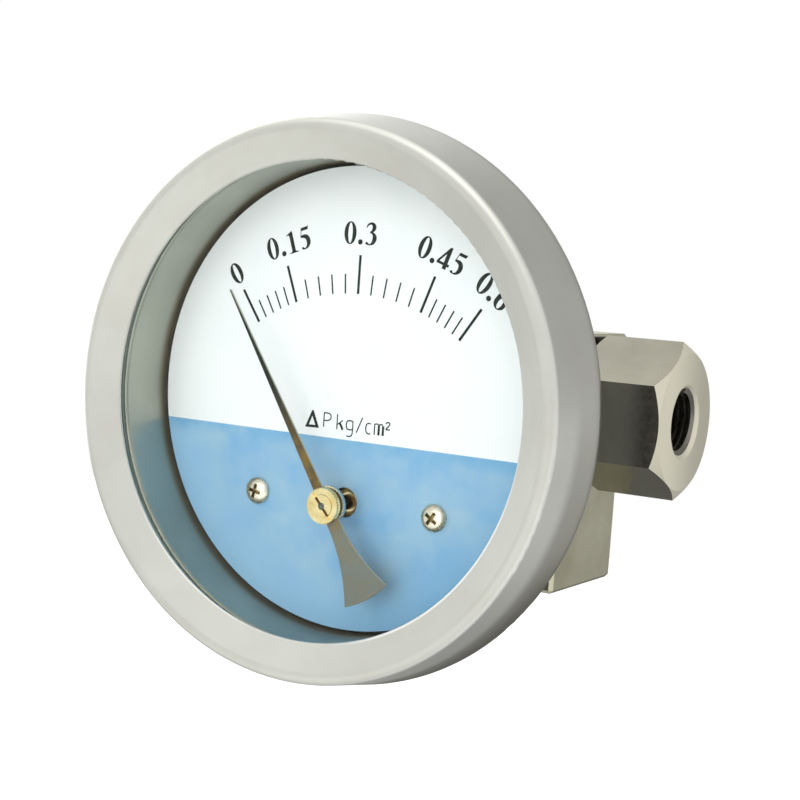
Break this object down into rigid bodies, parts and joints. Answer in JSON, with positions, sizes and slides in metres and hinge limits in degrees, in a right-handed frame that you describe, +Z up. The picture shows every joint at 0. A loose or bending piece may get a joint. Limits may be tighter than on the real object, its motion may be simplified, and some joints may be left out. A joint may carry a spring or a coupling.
{
  "type": "differential pressure gauge",
  "caption": "Round dial gauge on a block body with in-line hexagon ports; a spring-loaded magnetic piston between the ports turns the pointer to show a pressure difference.",
  "frame": {"origin": "middle of the body's flat back face, level with the axis of the two ports", "axes": "+X from the high-pressure port to the low-pressure port, to the right seen from the dial; +Y to the back, away from the dial; +Z up"},
  "size_m": [0.1282, 0.0536, 0.1143],
  "materials": {
    "satin_stainless": "satin stainless steel sheet",
    "case_stainless": "drawn stainless steel sheet",
    "body_stainless": "fine machined stainless steel",
    "fitting_stainless": "bright turned stainless steel",
    "piston_stainless": "ground stainless steel",
    "ground_steel": "ground steel",
    "spring_steel": "drawn spring wire",
    "magnet_alloy": "ground magnet alloy",
    "plate_aluminium": "turned aluminium",
    "printed_dial": "white and blue printed aluminium sheet",
    "dark_pointer": "dark finished aluminium sheet",
    "hub_brass": "bright turned brass",
    "turned_brass": "turned brass",
    "plated_screw": "nickel plated steel",
    "bright_washer": "bright plated steel",
    "black_rubber": "black rubber",
    "window": "clear flat glass"
  },
  "bodies": {
    "gauge": {"gauge_body": "body_stainless", "high_side_fitting": "fitting_stainless", "low_side_fitting": "fitting_stainless", "fitting_seals": "black_rubber", "case_pan": "case_stainless", "bezel_ring": "satin_stainless", "window_glass": "window", "window_gasket": "black_rubber", "dial_plate": "printed_dial", "dial_posts": "turned_brass", "dial_screws": "plated_screw", "bearing_plate": "plate_aluminium", "bearing_plate_screws": "plated_screw", "front_bush": "turned_brass", "rear_bush": "turned_brass", "range_spring": "spring_steel"},
    "pointer_unit": {"pointer": "dark_pointer", "pointer_hub": "hub_brass", "hub_washer": "bright_washer", "pointer_shaft": "ground_steel", "magnet_carrier": "turned_brass", "rotor_magnet": "magnet_alloy"},
    "piston_unit": {"piston": "piston_stainless", "piston_magnet": "magnet_alloy"}
  },
  "joints": [
    {"name": "piston_slide", "type": "slide", "parent": "gauge", "child": "piston_unit", "axis": [1, 0, 0], "range_m": [0, 0.009], "stiffness_N_per_m": 1300, "deforming": ["range_spring"]},
    {"name": "pointer_turn", "type": "hinge", "parent": "gauge", "child": "pointer_unit", "pos_m": [0, -0.02, -0.0225], "axis": [0, 1, 0], "range_deg": [0, 67.5]}
  ],
  "couplings": [
    {"joint": "pointer_turn", "follows": "piston_slide", "rad_per_m": 130.89}
  ]
}
